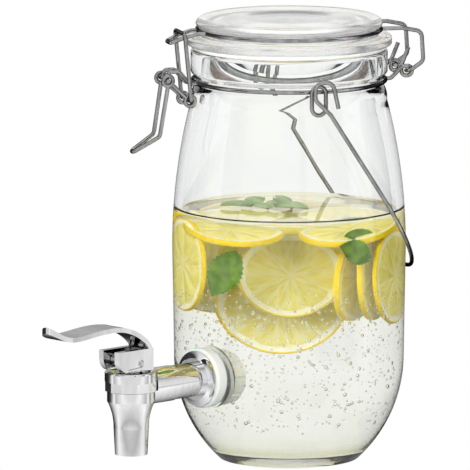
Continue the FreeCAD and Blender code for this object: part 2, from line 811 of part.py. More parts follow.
def tap_body():
    """Tap casting: barrel with a waisted spout, side arm with a seam, and threaded shank."""
    neck_end = SEAT_OUTER + S.outer_washer_thickness + S.flange_thickness
    neck_top = BARREL_TOP - S.bonnet_thickness
    corners = [
        (0.0, NOZZLE_BOTTOM),
        (S.nozzle_radius, NOZZLE_BOTTOM),
        (S.waist_radius, WAIST_HEIGHT),
        (S.barrel_radius, BARREL_SHOULDER - S.barrel_shoulder_fall, S.waist_curve, -1),
        (S.barrel_radius, BARREL_SHOULDER),
        (S.barrel_neck_radius, BARREL_SHOULDER),
        (S.barrel_neck_radius, neck_top),
        (0.0, neck_top),
    ]
    barrel = at_barrel(turned("tap_barrel", corners))
    arm = cylinder_along("tap_arm", S.arm_radius, BARREL_REACH - neck_end, neck_end)
    band = cylinder_along(
        "tap_arm_band", S.arm_radius + S.arm_step, BARREL_REACH - ARM_SEAM, ARM_SEAM
    )
    shank = cylinder_along(
        "tap_shank", S.shank_radius, neck_end - SHANK_END + S.cut_margin, SHANK_END
    )
    solid = fuse_all("tap_solid", [barrel, arm, band, shank])
    recess_foot = COLLAR_BOTTOM - S.recess_gap
    recess_height = COLLAR_TOP - recess_foot + S.cut_margin
    recess = upright("tap_recess", S.collar_radius + S.recess_gap, recess_height, recess_foot)
    core_height = neck_top - recess_foot + S.cut_margin
    core = upright("tap_neck_core", S.barrel_neck_radius, core_height, recess_foot - S.cut_margin)
    ring = cut_from("tap_collar_recess", recess, core)
    shaped_solid = cut_from("tap_turned", solid, ring)
    chamber_height = BARREL_TOP - VALVE_SEAT_HEIGHT
    chamber = upright("tap_chamber", S.chamber_radius, chamber_height, VALVE_SEAT_HEIGHT)
    nozzle_height = S.nozzle_drop - S.valve_seat_drop + 2.0 * S.cut_margin
    nozzle = upright("tap_nozzle", S.nozzle_bore, nozzle_height, NOZZLE_BOTTOM - S.cut_margin)
    passage_length = BARREL_REACH - SHANK_END + S.cut_margin
    passage = cylinder_along(
        "tap_passage", S.passage_radius, passage_length, SHANK_END - S.cut_margin
    )
    hollow = fuse_all("tap_hollow", [chamber, nozzle, passage])
    return cut_from("tap_body", shaped_solid, hollow)


def upright(name, radius, height, foot):
    """A cylinder on the barrel's vertical axis, standing at a height."""
    cylinder = doc.addObject("Part::Cylinder", name)
    bind(cylinder, Radius=radius, Height=height)
    at_barrel(cylinder)
    cylinder.setExpression("Placement.Base.z", foot.text)
    return cylinder


def cylinder_along(name, radius, length, reach):
    """A cylinder on the tap's horizontal axis."""
    cylinder = doc.addObject("Part::Cylinder", name)
    bind(cylinder, Radius=radius, Height=length)
    return along_tap(cylinder, reach)


def fuse_all(name, things):
    fuse = doc.addObject("Part::MultiFuse", name)
    fuse.Shapes = things
    return fuse


def cut_from(name, base, tool):
    cut = doc.addObject("Part::Cut", name)
    cut.Label = name
    cut.Base = base
    cut.Tool = tool
    return cut


def tap_rings():
    """Washers, flange and lock nut on the shank, from the barrel side to the inside of the jar."""
    bore = S.shank_radius + S.bore_gap
    thick = S.outer_washer_thickness
    rounding = S.outer_washer_round
    outer = turned(
        "outer_washer",
        [
            (bore, 0.0),
            (S.outer_washer_radius, 0.0),
            (S.outer_washer_radius, thick - rounding),
            (S.outer_washer_radius - rounding, thick, rounding, 1),
            (bore, thick),
        ],
    )
    along_tap(outer, SEAT_OUTER)
    thick = S.flange_thickness
    flange = turned(
        "tap_flange",
        [
            (bore, 0.0),
            (S.flange_radius, 0.0),
            (S.flange_radius, S.flange_edge),
            (S.arm_radius + S.flange_foot, thick, S.flange_dish_curve, -1),
            (bore, thick),
        ],
    )
    along_tap(flange, SEAT_OUTER + S.outer_washer_thickness)
    inner = turned(
        "inner_washer",
        [
            (bore, 0.0),
            (S.inner_washer_radius, 0.0),
            (S.inner_washer_radius, S.inner_washer_thickness),
            (bore, S.inner_washer_thickness),
        ],
    )
    along_tap(inner, SEAT_INNER - S.inner_washer_thickness)
    nut = turned(
        "lock_nut",
        [
            (bore, 0.0),
            (S.nut_radius - S.nut_bevel, 0.0),
            (S.nut_radius, S.nut_bevel),
            (S.nut_radius, S.nut_thickness),
            (bore, S.nut_thickness),
        ],
    )
    sketch = new_sketch(nut, "nut_grip_outline", "XY_Plane")
    offset = S.nut_radius + S.nut_grip_offset
    circle = Part.Circle(Vector(float(offset), 0, 0), Vector(0, 0, 1), float(S.nut_grip_radius))
    grip = sketch.addGeometry(circle, False)
    sketch.addConstraint(Sketcher.Constraint("PointOnObject", grip, 3, -1))
    place = sketch.addConstraint(Sketcher.Constraint("DistanceX", -1, 1, grip, 3, float(offset)))
    sketch.setExpression(f"Constraints[{place}]", offset.text)
    size = sketch.addConstraint(Sketcher.Constraint("Radius", grip, float(S.nut_grip_radius)))
    sketch.setExpression(f"Constraints[{size}]", S.nut_grip_radius.text)
    doc.recompute()
    groove = nut.newObject("PartDesign::Pocket", "nut_grip")
    groove.Profile = sketch
    groove.Type = 1
    groove.Reversed = True
    doc.recompute()
    grips = nut.newObject("PartDesign::PolarPattern", "nut_grips")
    grips.Originals = [groove]
    grips.Axis = (sketch, ["N_Axis"])
    grips.Angle = 360
    grips.Occurrences = GRIPS
    nut.Tip = grips
    along_tap(nut, NUT_REACH)
    return [outer, flange, inner, nut]


def collar_nut():
    """Screwed collar of the barrel: faceted skirt, round rim and a dished lip over the bonnet."""
    facet_top = COLLAR_BOTTOM + S.collar_facet_height
    bore = S.barrel_neck_radius + S.bore_gap
    edge = S.collar_edge
    ring = turned(
        "collar_ring",
        [
            (bore, COLLAR_BOTTOM),
            (S.collar_radius, COLLAR_BOTTOM),
            (S.collar_radius, COLLAR_TOP - edge),
            (S.collar_radius - edge, COLLAR_TOP, edge, 1),
            (S.collar_radius - edge - S.collar_flat, COLLAR_TOP),
            (S.collar_lip, BARREL_TOP + S.collar_dish, S.collar_dish_curve, 1),
            (S.collar_lip, BARREL_TOP),
            (bore, BARREL_TOP),
        ],
    )
    at_barrel(ring)
    prism = doc.addObject("Part::Prism", "collar_facets")
    prism.Polygon = FACETS
    bind(prism, Circumradius=S.collar_radius + S.collar_facet_margin, Height=S.collar_facet_height)
    at_barrel(prism)
    prism.setExpression("Placement.Base.z", COLLAR_BOTTOM.text)
    rim = doc.addObject("Part::Cylinder", "collar_round")
    rim_height = COLLAR_TOP - facet_top + S.cut_margin
    bind(rim, Radius=S.collar_radius + S.cut_margin, Height=rim_height)
    at_barrel(rim)
    rim.setExpression("Placement.Base.z", facet_top.text)
    envelope = fuse_all("collar_envelope", [prism, rim])
    collar = doc.addObject("Part::Common", "collar_nut")
    collar.Base = ring
    collar.Tool = envelope
    collar.Label = "collar_nut"
    return collar


def stem_parts():
    """Bonnet, stem with its head, O-ring, seat plug and lever pin on the barrel's axis."""
    low = BARREL_TOP - S.bonnet_thickness
    ring = S.o_ring_section
    pocket = S.stem_radius + 2.0 * ring
    clear = S.stem_radius + S.stem_gap
    boss = pocket + S.bonnet_boss_wall
    dome = S.collar_lip - S.wire_gap
    bonnet = turned(
        "bonnet_cap",
        [
            (clear, low + S.bonnet_seal_rise),
            (pocket, low + S.bonnet_seal_rise),
            (pocket, low - S.bonnet_boss_drop),
            (boss, low - S.bonnet_boss_drop),
            (boss, low),
            (S.bonnet_radius, low),
            (S.bonnet_radius, BARREL_TOP),
            (dome, BARREL_TOP),
            (dome, BARREL_TOP + S.bonnet_dome),
            (clear, BARREL_TOP + S.bonnet_dome / 2.0),
        ],
    )
    at_barrel(bonnet)
    seal = doc.addObject("Part::Torus", "stem_o_ring")
    bind(seal, Radius1=S.stem_radius + ring + S.seal_gap / 2.0, Radius2=ring - S.seal_gap)
    at_barrel(seal)
    seal.setExpression("Placement.Base.z", (low - S.o_ring_sink).text)
    bottom = VALVE_SEAT_HEIGHT + S.plug_thickness
    foot = bottom - S.stem_foot
    shoulder = S.plug_radius - S.stem_flange_inset
    stem_top = PIN_HEIGHT - S.stem_head_radius + S.stem_head_sink
    stem = turned(
        "stem_rod",
        [
            (0.0, foot),
            (S.stem_radius, foot),
            (S.stem_radius, bottom),
            (shoulder, bottom),
            (shoulder, bottom + S.stem_flange),
            (S.stem_radius, bottom + S.stem_flange),
            (S.stem_radius, stem_top),
            (0.0, stem_top),
        ],
    )
    at_barrel(stem)
    eye = cross_cylinder("stem_head", S.stem_head_radius, S.stem_head_half)
    hole = cross_cylinder("stem_pin_hole", S.pin_radius + S.pin_gap, S.stem_head_half + S.cut_margin)
    whole = fuse_all("stem_with_head", [stem, eye])
    valve_stem = cut_from("valve_stem", whole, hole)
    plug_foot = VALVE_SEAT_HEIGHT + S.plug_lift
    plug_top = bottom - 2.0 * S.stem_gap
    plug_bore = S.stem_radius + S.stem_gap / 2.0
    socket = foot - S.stem_gap / 2.0
    plug = turned(
        "valve_seat_plug",
        [
            (0.0, plug_foot),
            (S.nozzle_bore - S.plug_inset, plug_foot),
            (S.plug_radius, plug_foot + S.plug_bevel),
            (S.plug_radius, plug_top),
            (plug_bore, plug_top),
            (plug_bore, socket),
            (0.0, socket),
        ],
    )
    at_barrel(plug)
    pin = cross_cylinder("lever_pin", S.pin_radius, S.cheek_half_width - S.pin_inset)
    return [bonnet, seal, valve_stem, plug, pin]


def cross_cylinder(name, radius, half_length):
    """A cylinder centred on the barrel's axis and lying sideways at the lever pin."""
    cylinder = doc.addObject("Part::Cylinder", name)
    cylinder.Label = name
    bind(cylinder, Radius=radius, Height=2.0 * half_length)
    cylinder.Placement = Placement(Vector(0, 0, 0), Rotation(Vector(0, 1, 0), 90))
    cylinder.setExpression("Placement.Base.x", f"-{half_length.text}")
    cylinder.setExpression("Placement.Base.y", f"-{BARREL_REACH.text}")
    cylinder.setExpression("Placement.Base.z", PIN_HEIGHT.text)
    return cylinder


def return_spring():
    """Coil spring between the stem's shoulder and the bonnet."""
    wire = float(S.spring_wire)
    margin = wire + float(S.stem_gap)
    low = float(VALVE_SEAT_HEIGHT + S.plug_thickness + S.stem_flange) + margin
    high = float(BARREL_TOP - S.bonnet_thickness - S.bonnet_boss_drop) - margin
    pitch = (high - low) / float(S.spring_turns)
    helix = Part.makeHelix(pitch, high - low, float(S.spring_radius))
    start = helix.Edges[0].valueAt(helix.Edges[0].FirstParameter)
    heading = helix.Edges[0].tangentAt(helix.Edges[0].FirstParameter)
    across = Part.Wire(Part.Circle(start, heading, wire).toShape())
    coil = helix.makePipeShell([across], True, True)
    spring = shaped("return_spring", coil)
    spring.Placement = Placement(Vector(0, -float(BARREL_REACH), low), Rotation())
    return spring


def lever_point(ahead, height):
    """A point of the lever's side view, measured outwards from the barrel's axis."""
    return Vector(0, -(float(BARREL_REACH) + float(ahead)), float(height))


def tap_lever():
    """Lever moulding: two cam cheeks joined by a back wall that arches over into a curved blade."""
    width = float(S.cheek_half_width)
    thick = float(S.cheek_thickness)
    blade = float(S.blade_thickness)
    back, front = -float(S.lever_back), float(S.cheek_front)
    low = float(CHEEK_BOTTOM)
    high = low + float(S.cheek_height)
    cam = float(S.cam_radius)
    half = math.sqrt(0.5)
    cheek = [
        Part.LineSegment(lever_point(back, low), lever_point(front - cam, low)).toShape(),
        Part.Arc(
            lever_point(front - cam, low),
            lever_point(front - cam + cam * half, low + cam - cam * half),
            lever_point(front, low + cam),
        ).toShape(),
        Part.LineSegment(lever_point(front, low + cam), lever_point(front, high)).toShape(),
        Part.LineSegment(lever_point(front, high), lever_point(back, high)).toShape(),
        Part.LineSegment(lever_point(back, high), lever_point(back, low)).toShape(),
    ]
    face = Part.Face(Part.Wire(cheek))
    shapes = []
    for side in SIDES:
        plate = face.extrude(Vector(side * thick, 0, 0))
        plate.translate(Vector(side * (width - thick), 0, 0))
        shapes.append(plate)
    spine = blade_spine()
    upper = [lever_point(a, h) for a, h in spine]
    lower = [lever_point(a, h) for a, h in inset(spine, blade)]
    top = Part.BSplineCurve()
    top.interpolate(upper)
    bottom = Part.BSplineCurve()
    bottom.interpolate(list(reversed(lower)))
    nose = Part.LineSegment(upper[-1], lower[-1]).toShape()
    heel = Part.LineSegment(lower[0], upper[0]).toShape()
    strip = Part.Face(Part.Wire([top.toShape(), nose, bottom.toShape(), heel]))
    limit = float(S.blade_half_width)
    strap = strip.extrude(Vector(2 * limit, 0, 0))
    strap.translate(Vector(-limit, 0, 0))
    plan = blade_plan()
    shapes.append(strap.common(plan))
    lever = shapes[0].fuse(shapes[1:]).removeSplitter()
    for side in SIDES:
        lever = lever.cut(pin_recess(side))
    axis = Vector(-width, 0, 0) + lever_point(0, PIN_HEIGHT)
    hole = float(S.pin_radius + S.pin_hole_gap)
    lever = lever.cut(Part.makeCylinder(hole, 2 * width, axis, Vector(1, 0, 0)))
    return shaped("tap_lever", lever.Solids[0])


def blade_spine():
    """Side view of the blade's upper face, from the foot of the back wall to the tip."""
    back = -float(S.lever_back)
    foot = float(CHEEK_BOTTOM)
    top, ahead = float(ARCH_TOP), float(S.arch_out)
    dip, dip_out = float(BLADE_DIP), float(S.blade_dip_out)
    tip, tip_out = float(BLADE_TIP_HEIGHT), float(S.blade_tip_out)
    rise, run = top - foot, ahead - back
    lift, nose = tip - dip, tip_out - dip_out
    return [
        (back, foot),
        (back, foot + 0.25 * rise),
        (back + 0.04 * run, foot + 0.50 * rise),
        (back + 0.22 * run, foot + 0.72 * rise),
        (back + 0.47 * run, foot + 0.88 * rise),
        (back + 0.72 * run, foot + 0.97 * rise),
        (ahead, top),
        ((ahead + dip_out) / 2.0, (top + dip) / 2.0 + 0.05 * lift),
        (dip_out, dip),
        (dip_out + 0.47 * nose, dip + 0.12 * lift),
        (dip_out + 0.79 * nose, dip + 0.52 * lift),
        (tip_out, tip),
    ]


def inset(spine, depth):
    """The same side view moved inwards by the thickness of the blade."""
    moved = []
    for i, (ahead, height) in enumerate(spine):
        before = spine[max(i - 1, 0)]
        after = spine[min(i + 1, len(spine) - 1)]
        run, rise = after[0] - before[0], after[1] - before[1]
        length = math.hypot(run, rise)
        moved.append((ahead + rise / length * depth, height - run / length * depth))
    return moved


def blade_plan():
    """Plan of the blade: as wide as the cheeks at the back, fuller ahead, with a round tip."""
    width, limit = float(S.cheek_half_width), float(S.blade_half_width)
    margin, tip = float(S.cut_margin), float(S.blade_tip_out)
    points = [
        (width, -float(S.lever_back) - margin),
        (width, float(S.blade_flare_out)),
        (limit, tip - float(S.blade_tip_round)),
        (float(S.blade_tip_share) * limit, tip - float(S.blade_tip_round) * 0.3),
    ]
    side = [lever_point(ahead, 0) - Vector(half, 0, 0) for half, ahead in points]
    mirror = [Vector(-p.x, p.y, 0) for p in reversed(side)]
    tip_point = lever_point(tip, 0)
    edges = [
        Part.LineSegment(side[0], side[1]).toShape(),
        Part.LineSegment(side[1], side[2]).toShape(),
        Part.LineSegment(side[2], side[3]).toShape(),
        Part.Arc(side[3], tip_point, mirror[0]).toShape(),
        Part.LineSegment(mirror[0], mirror[1]).toShape(),
        Part.LineSegment(mirror[1], mirror[2]).toShape(),
        Part.LineSegment(mirror[2], mirror[3]).toShape(),
        Part.LineSegment(mirror[3], side[0]).toShape(),
    ]
    base = float(CHEEK_BOTTOM) - margin
    height = float(BLADE_TIP_HEIGHT) - base + 2.0 * margin
    plan = Part.Face(Part.Wire(edges)).extrude(Vector(0, 0, height))
    plan.translate(Vector(0, 0, base))
    return plan


def pin_recess(side):
    """Long shallow recess in a cheek's outer face, over the end of the pin."""
    depth = float(S.pin_recess_depth)
    radius = float(S.pin_radius + S.pin_recess_margin)
    run, fall = float(S.pin_recess_length), float(S.pin_recess_fall)
    start = Vector(side * float(S.cheek_half_width), 0, 0) + lever_point(0, PIN_HEIGHT)
    end = start + Vector(0, -run, -fall)
    ends = [Part.makeCylinder(radius, depth, p, Vector(-side, 0, 0)) for p in (start, end)]
    length = math.hypot(run, fall)
    box = Part.makeBox(depth, length, 2 * radius)
    box.translate(Vector(-depth if side > 0 else 0, -length, -radius))
    box.rotate(Vector(0, 0, 0), Vector(1, 0, 0), math.degrees(math.atan2(fall, run)))
    box.translate(start)
    return ends[0].fuse([ends[1], box])


def check_and_write(parts):
    """Stop on any failed object, then write each sub-part to its own STEP file."""
    for thing in doc.Objects:
        if "Invalid" in thing.State or "Error" in thing.State:
            raise RuntimeError(f"{thing.Name} failed: {thing.State}")
    for thing in parts:
        if thing.Shape.isNull() or not thing.Shape.isValid():
            raise RuntimeError(f"{thing.Label} has no valid shape")
    os.makedirs("parts", exist_ok=True)
    for thing in parts:
        thing.Shape.exportStep(f"parts/{thing.Label}.step")
        solids = len(thing.Shape.Solids)
        print(f"{thing.Label}: {solids} solid, {thing.Shape.Volume / 1000:.2f} cm3")


PARTS = [
    glass_jar(),
    neck_band_wire(),
    carry_handle_wire(),
    lid_glass(),
    lid_gasket(),
    lid_band_wire(),
    clip_lever_wire(),
    clip_link_wire(),
    tap_body(),
    *tap_rings(),
    collar_nut(),
    *stem_parts(),
    return_spring(),
    tap_lever(),
]
doc.recompute()
check_and_write(PARTS)
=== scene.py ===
import math
import random

import bmesh
import bpy
from mathutils import Matrix, Vector


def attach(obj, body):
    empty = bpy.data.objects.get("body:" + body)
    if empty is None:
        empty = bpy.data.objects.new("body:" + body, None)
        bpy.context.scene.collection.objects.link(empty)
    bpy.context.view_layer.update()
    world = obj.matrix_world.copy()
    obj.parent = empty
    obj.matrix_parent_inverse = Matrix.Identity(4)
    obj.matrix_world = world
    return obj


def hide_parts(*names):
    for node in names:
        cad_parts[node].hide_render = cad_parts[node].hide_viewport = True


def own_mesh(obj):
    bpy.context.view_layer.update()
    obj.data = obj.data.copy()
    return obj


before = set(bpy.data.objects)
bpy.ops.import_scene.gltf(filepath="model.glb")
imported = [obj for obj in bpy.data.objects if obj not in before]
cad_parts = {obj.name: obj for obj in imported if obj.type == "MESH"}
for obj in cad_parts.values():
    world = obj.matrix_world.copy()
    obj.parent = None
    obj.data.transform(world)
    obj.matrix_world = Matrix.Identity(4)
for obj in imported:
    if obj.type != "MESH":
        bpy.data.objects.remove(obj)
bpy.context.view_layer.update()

MM = 0.001
SEGMENTS = 160

# The camera looks at the jar from 47 degrees to the right of the tap, a little from above.
# Its lengths are in metres; FRAME_WIDTH is what the picture spans at the jar.
VIEW_TURN = math.radians(47.0)
VIEW_RISE = math.radians(9.0)
CAMERA_DISTANCE = 6.0
SENSOR_WIDTH = 36.0
FRAME_WIDTH = 0.2820
AIM_HEIGHT = 0.1345
AIM_RIGHT = -0.0324
RIGHT = Vector((math.cos(VIEW_TURN), math.sin(VIEW_TURN), 0.0))
NEAR = Vector((math.sin(VIEW_TURN), -math.cos(VIEW_TURN), 0.0))
UP = Vector((0.0, 0.0, 1.0))

# The jar's wall and outside, in millimetres. HEEL_TOP is a (radius, height).
JAR_WALL = 4.2
FOOT_RADIUS = 42.0
INNER_BASE = 8.0
HEEL_TOP = (69.0, 60.0)
HEEL_CURVE = 85.0
BELLY_RADIUS = 70.1
BELLY_HEIGHT = 128.0
SHOULDER_CURVE = 350.0

# The tap's hole and its flat seat on the jar, in millimetres.
TAP_HEIGHT = 56.0
HOLE_RADIUS = 8.5
SEAT_RADIUS = 19.0
SEAT_OUTSIDE = 67.6
SEAT_INSIDE = 60.7
SEAT_CUT = 5.0

# The drink, fruit and bubbles, in millimetres.
LIQUID_LEVEL = 151.5
SLICE_THICKNESS = 3.4
SLICE_SIDES = 72
PITH_WIDTH = 2.6
LEAF_ROWS, LEAF_COLUMNS = 22, 10
LEAF_THICKNESS = 0.35
LEAF_CUP = 0.18
BUBBLES = 1100
BUBBLE_SEED = 11
BUBBLE_LOWEST = 24.0
BUBBLE_SPREAD = 84.0
BUBBLE_TAP_GAP = 20.0


# ---------------------------------------------------------------- materials


def new_material(name):
    material = bpy.data.materials.new(name)
    material.use_nodes = True
    nodes = material.node_tree.nodes
    return material, nodes, material.node_tree.links, nodes["Principled BSDF"]


def set_inputs(node, **values):
    """Constants go straight on the shader's own sockets."""
    for name, value in values.items():
        node.inputs[name.replace("_", " ")].default_value = value


def noise(nodes, links, scale, detail, stretch=(1.0, 1.0, 1.0)):
    """Object-space noise, with an optional stretch along the axes."""
    place = nodes.new("ShaderNodeTexCoord")
    mapping = nodes.new("ShaderNodeMapping")
    mapping.inputs["Scale"].default_value = stretch
    texture = nodes.new("ShaderNodeTexNoise")
    texture.inputs["Scale"].default_value = scale
    texture.inputs["Detail"].default_value = detail
    links.new(place.outputs["Object"], mapping.inputs["Vector"])
    links.new(mapping.outputs["Vector"], texture.inputs["Vector"])
    return texture


def ramp(nodes, links, source, stops):
    """A colour ramp fed by a value; stops are (position, colour)."""
    node = nodes.new("ShaderNodeValToRGB")
    while len(node.color_ramp.elements) < len(stops):
        node.color_ramp.elements.new(0.5)
    for element, (position, colour) in zip(node.color_ramp.elements, stops):
        element.position = position
        element.color = (*colour, 1.0)
    links.new(source, node.inputs["Fac"])
    return node


def bump(nodes, links, source, shader, strength, distance):
    """Relief from a value; the distance is in metres."""
    node = nodes.new("ShaderNodeBump")
    node.inputs["Strength"].default_value = strength
    node.inputs["Distance"].default_value = distance
    links.new(source, node.inputs["Height"])
    links.new(node.outputs["Normal"], shader.inputs["Normal"])


def clear_to_shadow(material):
    """Let light pass a clear material to what stands behind it, without a black shadow."""
    nodes, links = material.node_tree.nodes, material.node_tree.links
    output = nodes["Material Output"]
    shader = nodes["Principled BSDF"]
    path = nodes.new("ShaderNodeLightPath")
    through = nodes.new("ShaderNodeBsdfTransparent")
    through.inputs["Color"].default_value = (0.99, 0.99, 0.99, 1.0)
    mix = nodes.new("ShaderNodeMixShader")
    links.new(path.outputs["Is Shadow Ray"], mix.inputs["Fac"])
    links.new(shader.outputs["BSDF"], mix.inputs[1])
    links.new(through.outputs["BSDF"], mix.inputs[2])
    links.new(mix.outputs["Shader"], output.inputs["Surface"])
    return material


def glass_material(name, colour, ior, ripple, roughness=0.0, layers=None):
    """Clear glass or liquid with a faint ripple; layers tint it by its height in the jar."""
    material, nodes, links, shader = new_material(name)
    set_inputs(shader, Base_Color=(*colour, 1.0), Roughness=roughness, IOR=ior, Transmission_Weight=1.0)
    texture = noise(nodes, links, scale=38.0, detail=2.0, stretch=(1.0, 1.0, 0.6))
    bump(nodes, links, texture.outputs["Fac"], shader, strength=0.25, distance=ripple)
    if layers:
        place = nodes.new("ShaderNodeTexCoord")
        split = nodes.new("ShaderNodeSeparateXYZ")
        height = nodes.new("ShaderNodeMapRange")
        height.inputs["From Max"].default_value = LIQUID_LEVEL * MM
        tint = ramp(nodes, links, height.outputs["Result"], layers)
        links.new(place.outputs["Object"], split.inputs["Vector"])
        links.new(split.outputs["Z"], height.inputs["Value"])
        links.new(tint.outputs["Color"], shader.inputs["Base Color"])
    return clear_to_shadow(material)


def metal_material(name, dark, light, roughness, grain, edge):
    """Polished metal with faint drawing marks in its gloss."""
    material, nodes, links, shader = new_material(name)
    set_inputs(shader, Metallic=1.0, Specular_Tint=(edge, edge, edge, 1.0))
    texture = noise(nodes, links, scale=260.0, detail=5.0, stretch=(1.0, 1.0, 0.3))
    colour = ramp(nodes, links, texture.outputs["Fac"], [(0.3, dark), (0.7, light)])
    links.new(colour.outputs["Color"], shader.inputs["Base Color"])
    spread = nodes.new("ShaderNodeMapRange")
    spread.inputs["To Min"].default_value = roughness
    spread.inputs["To Max"].default_value = roughness + grain
    links.new(texture.outputs["Fac"], spread.inputs["Value"])
    links.new(spread.outputs["Result"], shader.inputs["Roughness"])
    bump(nodes, links, texture.outputs["Fac"], shader, strength=0.04, distance=0.0002)
    return material


def silicone_material(name, low, high, clarity):
    """Milky silicone or soft plastic, as clear as clarity says."""
    material, nodes, links, shader = new_material(name)
    set_inputs(shader, Roughness=0.34, IOR=1.41, Subsurface_Weight=0.4, Subsurface_Scale=0.004)
    set_inputs(shader, Transmission_Weight=clarity)
    texture = noise(nodes, links, scale=90.0, detail=6.0)
    colour = ramp(nodes, links, texture.outputs["Fac"], [(0.3, low), (0.7, high)])
    links.new(colour.outputs["Color"], shader.inputs["Base Color"])
    bump(nodes, links, texture.outputs["Fac"], shader, strength=0.08, distance=0.0003)
    return material


def flesh_material():
    """Lemon flesh: juice sacs that run out from the core, with pale streaks between them."""
    material, nodes, links, shader = new_material("lemon_flesh")
    set_inputs(shader, Roughness=0.3, Subsurface_Weight=0.25, Subsurface_Scale=0.0015)
    set_inputs(shader, Specular_IOR_Level=0.1)
    shader.inputs["Subsurface Radius"].default_value = (1.0, 0.9, 0.5)
    place = nodes.new("ShaderNodeUVMap")
    mapping = nodes.new("ShaderNodeMapping")
    mapping.inputs["Scale"].default_value = (46.0, 3.0, 1.0)
    sacs = nodes.new("ShaderNodeTexVoronoi")
    sacs.inputs["Scale"].default_value = 1.0
    links.new(place.outputs["UV"], mapping.inputs["Vector"])
    links.new(mapping.outputs["Vector"], sacs.inputs["Vector"])
    stops = [(0.0, (0.90, 0.74, 0.13)), (0.45, (0.95, 0.83, 0.21)), (0.9, (0.97, 0.92, 0.42))]
    colour = ramp(nodes, links, sacs.outputs["Distance"], stops)
    links.new(colour.outputs["Color"], shader.inputs["Base Color"])
    bump(nodes, links, sacs.outputs["Distance"], shader, strength=0.5, distance=0.0006)
    return material


def mottled_material(name, low, high, scale, roughness, depth):
    """A matt natural surface whose colour wanders between two tones."""
    material, nodes, links, shader = new_material(name)
    set_inputs(shader, Roughness=roughness, Subsurface_Weight=0.2, Subsurface_Scale=0.001)
    set_inputs(shader, Specular_IOR_Level=0.15)
    shader.inputs["Subsurface Radius"].default_value = (1.0, 0.9, 0.5)
    texture = noise(nodes, links, scale, detail=5.0)
    colour = ramp(nodes, links, texture.outputs["Fac"], [(0.3, low), (0.7, high)])
    links.new(colour.outputs["Color"], shader.inputs["Base Color"])
    bump(nodes, links, texture.outputs["Fac"], shader, strength=0.5, distance=depth)
    return material


JAR_GLASS = glass_material("jar_glass", (0.975, 0.985, 0.98), 1.47, 0.0004)
LID_GLASS = glass_material("lid_glass", (1.0, 1.0, 1.0), 1.47, 0.001, 0.18)
DRINK = glass_material(
    "drink",
    (1.0, 1.0, 1.0),
    1.333,
    0.0001,
    layers=[
        # share of the liquid's height, tint
        (0.072, (0.66, 0.65, 0.43)),
        (0.10, (0.88, 0.873, 0.77)),
        (0.16, (0.925, 0.92, 0.865)),
        (0.56, (0.925, 0.92, 0.865)),
        (0.70, (0.955, 0.915, 0.60)),
        (0.97, (0.90, 0.85, 0.52)),
        (1.0, (0.96, 0.935, 0.76)),
    ],
)
BUBBLE = glass_material("bubble", (1.0, 1.0, 1.0), 0.76, 0.00001)
WIRE = metal_material("wire_steel", (0.30, 0.30, 0.30), (0.50, 0.50, 0.50), 0.05, 0.06, 0.05)
CHROME = metal_material("tap_chrome", (0.78, 0.78, 0.79), (0.90, 0.90, 0.91), 0.03, 0.03, 0.4)
STEEL = metal_material("stem_steel", (0.50, 0.50, 0.50), (0.70, 0.70, 0.70), 0.2, 0.1, 0.6)
SILICONE = silicone_material("silicone", (0.80, 0.81, 0.74), (0.90, 0.91, 0.86), 0.25)
NUT = silicone_material("nut_plastic", (0.80, 0.81, 0.70), (0.88, 0.89, 0.80), 0.1)
FLESH = flesh_material()
PITH = mottled_material("lemon_pith", (0.90, 0.88, 0.66), (0.97, 0.96, 0.82), 300.0, 0.6, 0.0004)
RIND = mottled_material("lemon_rind", (0.84, 0.60, 0.01), (0.95, 0.76, 0.03), 700.0, 0.35, 0.0005)
CORE = mottled_material("lemon_core", (0.90, 0.82, 0.38), (0.96, 0.90, 0.56), 300.0, 0.5, 0.0003)
MINT = mottled_material("mint_leaf", (0.07, 0.20, 0.005), (0.26, 0.50, 0.03), 160.0, 0.4, 0.0006)
SPRIG = mottled_material("mint_sprig", (0.32, 0.43, 0.22), (0.58, 0.68, 0.42), 160.0, 0.4, 0.0006)


# ---------------------------------------------------------------- meshes


def add_object(name, data):
    thing = bpy.data.objects.new(name, data)
    bpy.context.scene.collection.objects.link(thing)
    return thing


def mesh_from(shape, name):
    """Turn a finished bmesh into a mesh."""
    mesh = bpy.data.meshes.new(name)
    shape.to_mesh(mesh)
    shape.free()
    return mesh


def add_piece(name, mesh, body, materials, smooth_angle):
    """Link a mesh as a piece that rides on a CAD body."""
    piece = add_object(name, mesh)
    for material in materials:
        mesh.materials.append(material)
    smooth(mesh, smooth_angle)
    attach(piece, body)
    return piece


def smooth(mesh, angle):
    """Smooth shading, with edges sharper than the angle kept crisp."""
    mesh.polygons.foreach_set("use_smooth", [True] * len(mesh.polygons))
    mesh.set_sharp_from_angle(angle=math.radians(angle))
    mesh.update()


def lathe(name, profile):
    """Turn a closed outline of (radius, height) in millimetres about the jar's axis."""
    shape = bmesh.new()
    turns = [2.0 * math.pi * i / SEGMENTS for i in range(SEGMENTS)]
    rings = []
    for radius, height in profile:
        if radius < 1e-6:
            rings.append([shape.verts.new((0.0, 0.0, height * MM))])
            continue
        rings.append(
            [
                shape.verts.new((radius * MM * math.cos(a), radius * MM * math.sin(a), height * MM))
                for a in turns
            ]
        )
    for first, second in zip(rings, rings[1:] + rings[:1]):
        if len(first) == 1 and len(second) == 1:
            continue
        for i in range(SEGMENTS):
            j = (i + 1) % SEGMENTS
            corners = [first[i % len(first)], first[j % len(first)]]
            corners += [second[j % len(second)], second[i % len(second)]]
            corners = list(dict.fromkeys(corners))
            if len(corners) > 2:
                shape.faces.new(corners)
    bmesh.ops.recalc_face_normals(shape, faces=shape.faces)
    return mesh_from(shape, name)


